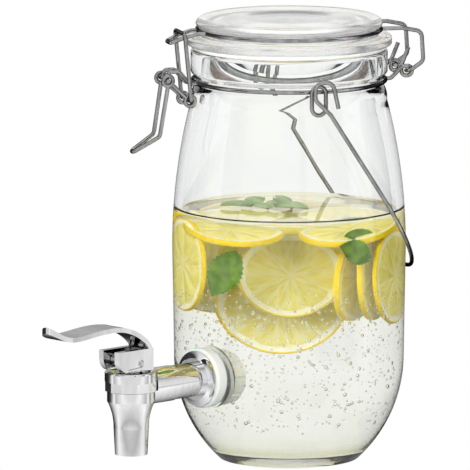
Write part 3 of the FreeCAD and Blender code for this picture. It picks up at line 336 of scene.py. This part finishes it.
def arc(start, end, radius, side, steps):
    """Points after start, up to end, on the short arc of a radius; side +1 bulges right of the way."""
    a, b = Vector(start), Vector(end)
    chord = b - a
    half = chord.length / 2.0
    normal = Vector((chord.y, -chord.x)).normalized() * side
    centre = (a + b) / 2.0 - normal * math.sqrt(max(radius * radius - half * half, 0.0))
    from_angle = math.atan2(a.y - centre.y, a.x - centre.x)
    sweep = 2.0 * math.asin(min(half / radius, 1.0)) * side
    return [
        (
            centre.x + radius * math.cos(from_angle + sweep * i / steps),
            centre.y + radius * math.sin(from_angle + sweep * i / steps),
        )
        for i in range(1, steps + 1)
    ]


def glass_inner():
    """The jar's inner wall from the base up to the shoulder."""
    foot = (FOOT_RADIUS, INNER_BASE)
    heel = (HEEL_TOP[0] - JAR_WALL, HEEL_TOP[1])
    belly = (BELLY_RADIUS - JAR_WALL, BELLY_HEIGHT)
    points = [foot] + arc(foot, heel, HEEL_CURVE - JAR_WALL, 1, 24)
    points += [belly] + arc(belly, (53.0, 211.0), SHOULDER_CURVE, 1, 20)
    return points


def wall_at(walls, height):
    """Inner radius of the jar at a height between its base and its shoulder."""
    spans = zip(walls, walls[1:])
    (r0, z0), (r1, z1) = next(span for span in spans if span[0][1] <= height <= span[1][1])
    return r0 + (r1 - r0) * (height - z0) / (z1 - z0)


def tap_cylinder(radius, near, far):
    """A cylinder on the tap's axis, between two distances from the jar's axis, in millimetres."""
    shape = bmesh.new()
    place = Matrix.Translation((0.0, -(near + far) / 2.0 * MM, TAP_HEIGHT * MM))
    place = place @ Matrix.Rotation(math.pi / 2.0, 4, "X")
    bmesh.ops.create_cone(
        shape,
        cap_ends=True,
        segments=96,
        radius1=radius * MM,
        radius2=radius * MM,
        depth=(far - near) * MM,
        matrix=place,
    )
    return add_object("tap_cylinder", mesh_from(shape, "tap_cylinder"))


def combine(mesh, tools):
    """Apply solids to a mesh one after the other, as ('UNION' or 'DIFFERENCE', solid)."""
    work = add_object("work", mesh)
    for operation, tool in tools:
        modifier = work.modifiers.new("combine", "BOOLEAN")
        modifier.operation = operation
        modifier.object = tool
        modifier.solver = "EXACT"
    bpy.context.view_layer.update()
    seen = work.evaluated_get(bpy.context.evaluated_depsgraph_get())
    result = bpy.data.meshes.new_from_object(seen)
    for thing in [work] + [tool for _, tool in tools]:
        bpy.data.objects.remove(thing)
    return result


def make_jar():
    """Jar glass with a pushed-in base, wire groove, rounded lip and the tap's seat and hole."""
    foot = (FOOT_RADIUS, 0.0)
    belly = (BELLY_RADIUS, BELLY_HEIGHT)
    profile = [(0.0, 2.6), (20.0, 2.1), (34.0, 0.6), (38.0, 0.0), foot]
    profile += arc(foot, HEEL_TOP, HEEL_CURVE, 1, 30)
    profile += [(69.5, 94.0), belly]
    profile += arc(belly, (58.7, 217.0), SHOULDER_CURVE, 1, 24)
    profile += arc((58.7, 217.0), (56.1, 226.8), 14.0, 1, 8)
    profile += [(56.1, 231.0), (57.2, 232.4), (58.4, 233.4), (59.0, 234.6), (59.0, 245.5)]
    profile += arc((59.0, 245.5), (57.0, 247.5), 2.0, 1, 6)
    profile.append((54.4, 247.5))
    profile += arc((54.4, 247.5), (52.4, 245.5), 2.0, 1, 6)
    profile += [(52.4, 223.0), (52.6, 217.0)]
    profile += glass_inner()[::-1] + [(30.0, 9.2), (0.0, 10.6)]
    mesh = lathe("jar_glass_mesh", profile)
    beyond = SEAT_OUTSIDE + SEAT_CUT
    tools = [
        ("UNION", tap_cylinder(SEAT_RADIUS, SEAT_INSIDE, SEAT_OUTSIDE)),
        ("DIFFERENCE", tap_cylinder(SEAT_RADIUS, SEAT_OUTSIDE, beyond)),
        ("DIFFERENCE", tap_cylinder(HOLE_RADIUS, SEAT_INSIDE - SEAT_CUT, beyond)),
    ]
    mesh = combine(mesh, tools)
    piece = add_piece("jar", mesh, "jar", [JAR_GLASS], 32.0)
    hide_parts("glass_jar")


def make_lid():
    """Pressed lid: dished top with rings, wire groove, flange and hollow plug."""
    under = 250.4
    profile = [(0.0, 265.1), (15.5, 265.1), (17.5, 265.6), (19.5, 265.1), (24.0, 265.2)]
    profile += [(26.0, 265.8), (28.0, 266.4), (31.0, 266.55), (50.0, 266.6)]
    profile += arc((51.8, 266.6), (56.0, 262.8), 4.2, -1, 8)
    profile += [(55.4, 261.7), (53.9, 260.9), (53.5, 259.6), (53.5, 257.4)]
    profile += [(54.4, 256.4), (56.2, 256.0)]
    profile += arc((59.5, 256.0), (61.5, 254.0), 2.0, -1, 6)
    profile += [(61.5, 251.8)] + arc((61.5, 251.6), (60.3, under), 1.2, -1, 4)
    profile += [(48.2, under), (45.4, 244.7), (44.4, 244.5), (41.4, 244.6)]
    profile += [(41.0, 246.0), (40.9, 256.0), (39.0, 258.0), (0.0, 258.1)]
    mesh = lathe("lid_glass_mesh", profile)
    piece = add_piece("lid", mesh, "lid", [LID_GLASS], 50.0)
    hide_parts("lid_glass")


def make_drink():
    """The drink fills the jar to its level and reaches just into the glass, so no air shows between."""
    wet = 0.12
    profile = [(0.0, 10.5), (30.0, 9.1)]
    for radius, height in glass_inner():
        if height < LIQUID_LEVEL:
            profile.append((radius + wet, height))
    edge = BELLY_RADIUS - JAR_WALL - 0.55
    profile += [(edge + wet, LIQUID_LEVEL + 1.4), (edge - 0.8, LIQUID_LEVEL + 0.5)]
    profile += [(edge - 2.2, LIQUID_LEVEL + 0.05), (edge - 5.0, LIQUID_LEVEL), (0.0, LIQUID_LEVEL)]
    mesh = lathe("drink_mesh", profile)
    add_piece("drink", mesh, "jar", [DRINK], 60.0)


# ---------------------------------------------------------------- fruit and leaves


def placed(right, near, height):
    """A point in the jar: right and near as the camera sees it, and height, in millimetres."""
    return (RIGHT * right + NEAR * near + UP * height) * MM


def outward(turn, rise=0.0):
    """A direction from the jar: turn from the camera to the right, rise above level, in degrees."""
    a, b = math.radians(turn), math.radians(rise)
    return (NEAR * math.cos(a) + RIGHT * math.sin(a)) * math.cos(b) + UP * math.sin(b)


def facing(turn, rise, spin):
    """Axes whose Z points outward, turned about it by spin."""
    axes = outward(turn, rise).to_track_quat("Z", "Y").to_matrix().to_4x4()
    return axes @ Matrix.Rotation(math.radians(spin), 4, "Z")


def ring_of(shape, radius, height, wobble):
    """A ring of points; wobble holds each point's share of the radius."""
    count = len(wobble)
    return [
        shape.verts.new(
            (
                radius * wobble[i] * math.cos(2.0 * math.pi * i / count),
                radius * wobble[i] * math.sin(2.0 * math.pi * i / count),
                height,
            )
        )
        for i in range(count)
    ]


def bridge(shape, rings, material):
    """Faces between each ring and the next."""
    for first, second in zip(rings, rings[1:]):
        for i in range(len(first)):
            j = (i + 1) % len(first)
            face = shape.faces.new((first[i], first[j], second[j], second[i]))
            face.material_index = material


def segment(shape, uv, start, stop, inner, outer, height, rise):
    """One wedge of flesh with rounded corners, domed a little above the pith."""
    middle = (start + stop) / 2.0
    half = (stop - start) / 2.0
    side_gap, crown_gap = 0.016, 0.022
    sides = []
    for share in (0.0, 0.25, 0.5, 0.75, 1.0):
        radius = inner + (outer - inner) * (share * 0.9)
        width = half * (0.25 + 0.75 * min(1.0, share * 2.2)) - side_gap
        sides.append((radius, width))
    points = [(radius, middle + width) for radius, width in sides]
    crown = 6
    for i in range(crown + 1):
        across = 1.0 - 2.0 * i / crown
        edge = abs(across)
        angle = middle + (half - crown_gap) * across
        points.append((outer - (outer - inner) * 0.06 * edge * edge, angle))
    points += [(radius, middle - width) for radius, width in reversed(sides)]
    rim = [shape.verts.new((r * math.cos(a), r * math.sin(a), height)) for r, a in points]
    hub_radius = inner + (outer - inner) * 0.6
    centre = Vector((hub_radius * math.cos(middle), hub_radius * math.sin(middle), 0.0))
    top = []
    for r, a in points:
        p = centre.lerp(Vector((r * math.cos(a), r * math.sin(a), 0.0)), 0.93)
        top.append(shape.verts.new((p.x, p.y, height + rise)))
    hub = shape.verts.new((centre.x, centre.y, height + rise))
    polar = {v: (r, a) for v, (r, a) in zip(rim, points)}
    polar.update({v: (r * 0.97, a) for v, (r, a) in zip(top, points)})
    polar[hub] = (hub_radius, middle)
    for i in range(len(points)):
        j = (i + 1) % len(points)
        for corners in ((rim[i], rim[j], top[j], top[i]), (top[i], top[j], hub)):
            face = shape.faces.new(corners)
            face.material_index = 2
            for loop in face.loops:
                r, a = polar[loop.vert]
                loop[uv].uv = (a / (2.0 * math.pi), r / outer)


def lemon_slice(name, centre, radius, turn, rise, spin, seed):
    """A round slice: rind, pith and nine or ten domed segments on each face."""
    chance = random.Random(seed)
    steps = [3.0 * 2.0 * math.pi * i / SLICE_SIDES for i in range(SLICE_SIDES)]
    wobble = [1.0 + 0.012 * math.sin(step + seed) for step in steps]
    shape = bmesh.new()
    uv = shape.loops.layers.uv.new("UVMap")
    half = SLICE_THICKNESS / 2.0
    rind = 1.1
    rounding = [(rind, 0.0), (0.25, 0.15), (0.0, 0.9)]
    rings = [ring_of(shape, radius - inset, half - drop, wobble) for inset, drop in rounding]
    rings += [ring_of(shape, radius - inset, drop - half, wobble) for inset, drop in rounding[::-1]]
    bridge(shape, rings, 0)
    for level, edge in ((half, rings[0]), (-half, rings[-1])):
        inner = ring_of(shape, radius - PITH_WIDTH - rind, level, wobble)
        bridge(shape, [edge, inner] if level > 0 else [inner, edge], 1)
        face = shape.faces.new(inner if level > 0 else list(reversed(inner)))
        face.material_index = 3
    wedges = chance.choice((9, 10))
    cuts = [2.0 * math.pi * (i + chance.uniform(-0.14, 0.14)) / wedges for i in range(wedges)]
    cuts.append(cuts[0] + 2.0 * math.pi)
    reach = radius - PITH_WIDTH - 0.9
    for start, stop in zip(cuts, cuts[1:]):
        for side in (1.0, -1.0):
            segment(shape, uv, start, stop, 1.0, reach, side * (half - 0.1), side * 0.25)
    bmesh.ops.recalc_face_normals(shape, faces=shape.faces)
    shape.transform(Matrix.Scale(MM, 4))
    shape.transform(Matrix.Translation(placed(*centre)) @ facing(turn, rise, spin))
    mesh = mesh_from(shape, name + "_mesh")
    piece = add_piece(name, mesh, "jar", [RIND, PITH, FLESH, CORE], 50.0)
    piece.visible_glossy = False


def sort_faces(shape):
    """Put faces in the order of their points, because solidify's own order changes from run to run."""
    shape.verts.index_update()
    ordered = sorted(shape.faces, key=lambda face: sorted(point.index for point in face.verts))
    for index, face in enumerate(ordered):
        face.index = index
    shape.faces.sort()


def mint_leaf(name, centre, length, width, turn, rise, spin, material):
    """A toothed leaf, folded along its midrib and curled at its ends, with a real thickness."""
    shape = bmesh.new()
    grid = []
    for i in range(LEAF_ROWS + 1):
        along = i / LEAF_ROWS
        half = width / 2.0 * math.sin(math.pi * min(along * 0.94 + 0.03, 1.0)) ** 0.8
        half *= 1.0 + (0.09 if i % 2 else -0.04)
        line = []
        for j in range(LEAF_COLUMNS + 1):
            across = 2.0 * j / LEAF_COLUMNS - 1.0
            side = abs(across)
            vein = 0.03 * width * abs(math.sin((along * 7.0 - side * 1.6) * math.pi)) * (1.0 - along)
            x = across * half
            y = (along - 0.5) * length - side * 0.06 * length
            z = LEAF_CUP * width * side ** 1.3 + vein - 0.12 * length * (along - 0.5) ** 2
            line.append(shape.verts.new((x, y, z)))
        grid.append(line)
    for near_row, far_row in zip(grid, grid[1:]):
        for j in range(LEAF_COLUMNS):
            shape.faces.new((near_row[j], near_row[j + 1], far_row[j + 1], far_row[j]))
    bmesh.ops.solidify(shape, geom=shape.faces[:], thickness=LEAF_THICKNESS)
    sort_faces(shape)
    bmesh.ops.recalc_face_normals(shape, faces=shape.faces)
    shape.transform(Matrix.Scale(MM, 4))
    shape.transform(Matrix.Translation(placed(*centre)) @ facing(turn, rise, spin))
    add_piece(name, mesh_from(shape, name + "_mesh"), "jar", [material], 60.0)


SLICES = [
    # name, (right, near, height), radius, turn, rise, spin
    ("slice_front", (0.8, 3.0, 113.2), 24.8, 0.0, 8.0, 12.0),
    ("slice_middle", (-3.4, -12.0, 93.0), 28.5, 4.0, 10.0, 40.0),
    ("slice_left", (-55.0, 12.5, 119.0), 28.0, -76.0, 4.0, 5.0),
    ("slice_right", (55.0, 12.5, 112.0), 28.0, 76.0, 4.0, 70.0),
    ("slice_right_edge", (40.0, 10.0, 113.0), 27.0, 86.0, 3.0, 20.0),
    ("slice_right_inner", (30.5, 2.0, 112.0), 27.0, 76.0, -4.0, 50.0),
    ("slice_top_left", (-29.0, 17.0, 141.0), 27.0, 10.0, 80.0, 15.0),
    ("slice_top_right", (31.0, 12.0, 141.0), 27.0, -20.0, 78.0, 33.0),
    ("slice_back_left", (-30.0, -20.0, 116.0), 28.0, -25.0, 8.0, 50.0),
    ("slice_back_right", (20.0, -32.0, 112.0), 28.0, 20.0, 6.0, 26.0),
    ("slice_back", (-2.0, -46.0, 118.0), 28.0, 2.0, 5.0, 61.0),
    ("slice_far_left", (-36.0, -36.0, 122.0), 27.0, -135.0, 4.0, 31.0),
]


LEAVES = [
    # name, (right, near, height), length, width, turn, rise, spin, material
    ("leaf_left", (-35.5, 39.0, 117.0), 30.0, 20.0, -20.0, 10.0, 150.0, MINT),
    ("leaf_right", (35.5, 41.0, 131.0), 20.0, 15.0, 30.0, 20.0, 60.0, MINT),
    ("leaf_right_low", (37.0, 32.0, 139.0), 18.0, 11.0, 30.0, 50.0, 80.0, MINT),
    ("sprig_left", (-32.0, -2.0, LIQUID_LEVEL + 1.4), 19.0, 11.0, 0.0, 82.0, 82.0, SPRIG),
    ("sprig_left_back", (-22.0, -7.0, LIQUID_LEVEL + 2.2), 16.0, 10.0, 0.0, 70.0, 118.0, SPRIG),
    ("sprig_left_front", (-19.0, 3.0, LIQUID_LEVEL + 1.6), 15.0, 9.0, 0.0, 78.0, 60.0, SPRIG),
    ("sprig_right", (2.0, 6.0, LIQUID_LEVEL + 1.4), 20.0, 12.0, 0.0, 80.0, -100.0, SPRIG),
    ("sprig_right_back", (-3.0, -4.0, LIQUID_LEVEL + 2.4), 16.0, 10.0, 0.0, 66.0, -140.0, SPRIG),
    ("sprig_small", (-10.0, 1.0, LIQUID_LEVEL + 2.2), 12.0, 8.0, 0.0, 68.0, -30.0, SPRIG),
]


def make_fruit():
    for seed, row in enumerate(SLICES, 1):
        lemon_slice(*row, seed)
    for row in LEAVES:
        mint_leaf(*row)


def make_bubbles():
    """Small bubbles that cling to the inside of the glass and hang in the lower drink."""
    chance = random.Random(BUBBLE_SEED)
    shape = bmesh.new()
    walls = glass_inner()
    for _ in range(BUBBLES):
        height = BUBBLE_LOWEST + BUBBLE_SPREAD * chance.random() ** 0.8
        angle = VIEW_TURN - math.pi / 2.0 + chance.uniform(-1.5, 1.5)
        size = chance.uniform(0.32, 0.72) if chance.random() < 0.86 else chance.uniform(0.8, 1.25)
        depth = size + 0.25 if chance.random() < 0.72 else chance.uniform(2.0, 24.0)
        radius = wall_at(walls, height) - depth
        tap_gap = math.hypot(radius * math.cos(angle), height - TAP_HEIGHT)
        if tap_gap < BUBBLE_TAP_GAP and math.sin(angle) < 0.0:
            continue
        x, y = radius * MM * math.cos(angle), radius * MM * math.sin(angle)
        place = Matrix.Translation((x, y, height * MM))
        finer = 2 if size > 0.6 else 1
        bmesh.ops.create_icosphere(shape, subdivisions=finer, radius=size * MM, matrix=place)
    add_piece("bubbles", mesh_from(shape, "bubbles_mesh"), "jar", [BUBBLE], 80.0)


# ---------------------------------------------------------------- CAD nodes

FINISHES = {
    WIRE: ["neck_band_wire", "carry_handle_wire", "lid_band_wire", "clip_lever_wire", "clip_link_wire"],
    CHROME: ["tap_body", "tap_flange", "collar_nut", "bonnet_cap", "tap_lever"],
    STEEL: ["valve_stem", "lever_pin", "return_spring"],
    SILICONE: ["outer_washer", "inner_washer", "lid_gasket", "stem_o_ring", "valve_seat_plug"],
    NUT: ["lock_nut"],
}


def dress_nodes():
    """Give each CAD node its finish; the jar's and the lid's glass are pieces of their own."""
    for material, names in FINISHES.items():
        for name in names:
            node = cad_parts[name]
            node.data.materials.clear()
            node.data.materials.append(material)
            smooth(node.data, 30.0)


def squashing_spring():
    """The return spring as a piece of its own on the jar's body, a copy of the CAD node's mesh; the CAD
    node is hidden.
    """
    spring = add_object("squashing_spring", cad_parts["return_spring"].data.copy())
    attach(spring, "jar")
    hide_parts("return_spring")
    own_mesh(spring)


# ---------------------------------------------------------------- studio

ROOM_LIGHT = 0.55
ROOM_GLOSS = [
    # share of the way from beyond the jar (0) to its shown side (1), brightness in gloss
    (0.0, 0.95),
    (0.09, 0.9),
    (0.13, 0.02),
    (0.34, 0.02),
    (0.42, 0.25),
    (0.52, 0.8),
    (0.60, 0.95),
    (0.66, 1.8),
    (0.71, 0.9),
    (0.79, 0.4),
    (0.88, 0.8),
    (1.0, 0.9),
]
# The floor's tones run over this many metres to either side of the jar.
FLOOR_REACH = 0.4
FLOOR_GLOSS = [
    (0.0, 0.03),
    (0.36, 0.03),
    (0.46, 0.08),
    (0.55, 0.5),
    (0.62, 1.1),
    (0.71, 0.55),
    (0.81, 0.8),
    (0.91, 1.1),
    (1.0, 0.8),
]
FLOOR_WIDTH = 60.0

FLAGS = [
    # turn from the camera to the right, distance, width, height, middle height, shade, seen in glass
    (52.0, 0.9, 0.30, 1.1, 0.35, 0.02, False),
    (-60.0, 0.9, 0.34, 1.1, 0.35, 0.02, False),
    (112.0, 0.8, 0.50, 1.0, 0.30, 0.03, True),
    (-118.0, 0.8, 0.50, 1.0, 0.30, 0.03, False),
    (14.0, 1.4, 0.16, 1.0, 0.45, 0.04, False),
]

LAMPS = [
    # name, turn from the camera to the right, rise, distance, (width, height), power, seen in gloss
    ("key", -40.0, 26.0, 1.6, (0.9, 0.9), 24.0, False),
    ("fill", 40.0, 16.0, 1.8, (0.9, 1.2), 17.0, False),
    ("top", 180.0, 62.0, 1.6, (1.0, 1.0), 4.0, True),
]
LAMP_AIM_HEIGHT = 0.12


def seen_through(nodes, links):
    """1 for rays from the camera and through glass, 0 for gloss and diffuse light."""
    path = nodes.new("ShaderNodeLightPath")
    either = nodes.new("ShaderNodeMath")
    either.operation = "MAXIMUM"
    links.new(path.outputs["Is Camera Ray"], either.inputs[0])
    links.new(path.outputs["Is Transmission Ray"], either.inputs[1])
    return path, either.outputs["Value"]


def mix_values(nodes, links, share, low, high):
    """low where share is 0 and high where it is 1; each may be a number or a socket."""
    node = nodes.new("ShaderNodeMapRange")
    links.new(share, node.inputs["Value"])
    for name, value in (("To Min", low), ("To Max", high)):
        if isinstance(value, float):
            node.inputs[name].default_value = value
        else:
            links.new(value, node.inputs[name])
    return node.outputs["Result"]


def room_in_gloss(nodes, links, place, reach, tones):
    """Brightness of the room in gloss, by how far a place lies towards the jar's shown side."""
    front = nodes.new("ShaderNodeVectorMath")
    front.operation = "DOT_PRODUCT"
    front.inputs[1].default_value = NEAR
    share = nodes.new("ShaderNodeMapRange")
    share.inputs["From Min"].default_value = -reach
    share.inputs["From Max"].default_value = reach
    links.new(place, front.inputs[0])
    links.new(front.outputs["Value"], share.inputs["Value"])
    stops = [(position, (shade, shade, shade)) for position, shade in tones]
    return ramp(nodes, links, share.outputs["Result"], stops).outputs["Color"]


def make_world():
    """White behind the set; gloss sees the room's own tones, with a dark band beyond the jar."""
    world = bpy.data.worlds.new("studio")
    bpy.context.scene.world = world
    world.use_nodes = True
    nodes, links = world.node_tree.nodes, world.node_tree.links
    background = nodes["Background"]
    background.inputs["Color"].default_value = (1.0, 1.0, 1.0, 1.0)
    path, through = seen_through(nodes, links)
    place = nodes.new("ShaderNodeTexCoord")
    room = room_in_gloss(nodes, links, place.outputs["Generated"], 1.0, ROOM_GLOSS)
    gloss = mix_values(nodes, links, path.outputs["Is Glossy Ray"], ROOM_LIGHT, room)
    strength = mix_values(nodes, links, through, gloss, 1.0)
    links.new(strength, background.inputs["Strength"])


def floor_material():
    """Paper: white to the camera and through glass, the room's tones in gloss, paper to light."""
    material, nodes, links, shader = new_material("floor_paper")
    set_inputs(shader, Base_Color=(0.75, 0.75, 0.75, 1.0), Roughness=0.9)
    path, through = seen_through(nodes, links)
    place = nodes.new("ShaderNodeTexCoord")
    room = room_in_gloss(nodes, links, place.outputs["Object"], FLOOR_REACH, FLOOR_GLOSS)
    glow = nodes.new("ShaderNodeEmission")
    links.new(mix_values(nodes, links, through, room, 1.0), glow.inputs["Strength"])
    seen = nodes.new("ShaderNodeMath")
    seen.operation = "MAXIMUM"
    links.new(through, seen.inputs[0])
    links.new(path.outputs["Is Glossy Ray"], seen.inputs[1])
    mix = nodes.new("ShaderNodeMixShader")
    links.new(seen.outputs["Value"], mix.inputs["Fac"])
    links.new(shader.outputs["BSDF"], mix.inputs[1])
    links.new(glow.outputs["Emission"], mix.inputs[2])
    links.new(mix.outputs["Shader"], nodes["Material Output"].inputs["Surface"])
    return material


def plane(name, size, matrix, material):
    """A flat sheet of the set, which is not part of the object."""
    shape = bmesh.new()
    bmesh.ops.create_grid(shape, x_segments=1, y_segments=1, size=0.5)
    shape.transform(matrix @ Matrix.Diagonal((*size, 1.0, 1.0)))
    mesh = mesh_from(shape, name + "_mesh")
    mesh.materials.append(material)
    thing = add_object(name, mesh)
    return thing


def make_flags():
    """Dark flags round the set, seen in gloss and one of them in glass, that give metal its contrast."""
    for i, (turn, distance, width, height, middle, shade, through) in enumerate(FLAGS):
        material, _, _, shader = new_material(f"flag_{i}")
        set_inputs(shader, Base_Color=(shade, shade, shade, 1.0), Roughness=1.0)
        place = Matrix.Translation(outward(turn) * distance + UP * middle)
        matrix = place @ facing(turn, 0.0, 0.0)
        flag = plane(f"flag_{i}", (width, height), matrix, material)
        flag.visible_camera = False
        flag.visible_diffuse = False
        flag.visible_shadow = False
        flag.visible_transmission = through


def make_lamp(name, turn, rise, distance, size, power, in_gloss):
    """A soft lamp that looks at the jar's middle and is not seen through glass."""
    data = bpy.data.lights.new(name, "AREA")
    data.shape = "RECTANGLE"
    data.size, data.size_y = size
    data.energy = power
    lamp = add_object(name, data)
    out = outward(turn, rise)
    lamp.location = out * distance + UP * LAMP_AIM_HEIGHT
    lamp.rotation_euler = out.to_track_quat("Z", "Y").to_euler()
    lamp.visible_glossy = in_gloss
    lamp.visible_transmission = False


def make_studio():
    make_world()
    under = Matrix.Translation((0.0, 0.0, -0.0002))
    plane("floor", (FLOOR_WIDTH, FLOOR_WIDTH), under, floor_material())
    make_flags()
    for lamp in LAMPS:
        make_lamp(*lamp)


def make_camera():
    data = bpy.data.cameras.new("camera")
    data.sensor_width = SENSOR_WIDTH
    data.lens = SENSOR_WIDTH * CAMERA_DISTANCE / FRAME_WIDTH
    data.clip_end = 100.0
    camera = add_object("camera", data)
    out = NEAR * math.cos(VIEW_RISE) + UP * math.sin(VIEW_RISE)
    camera.location = UP * AIM_HEIGHT + RIGHT * AIM_RIGHT + out * CAMERA_DISTANCE
    camera.rotation_euler = out.to_track_quat("Z", "Y").to_euler()
    bpy.context.scene.camera = camera


make_camera()
make_studio()
make_jar()
make_lid()
make_drink()
make_fruit()
make_bubbles()
dress_nodes()
squashing_spring()
bpy.context.scene.view_settings.view_transform = "Standard"
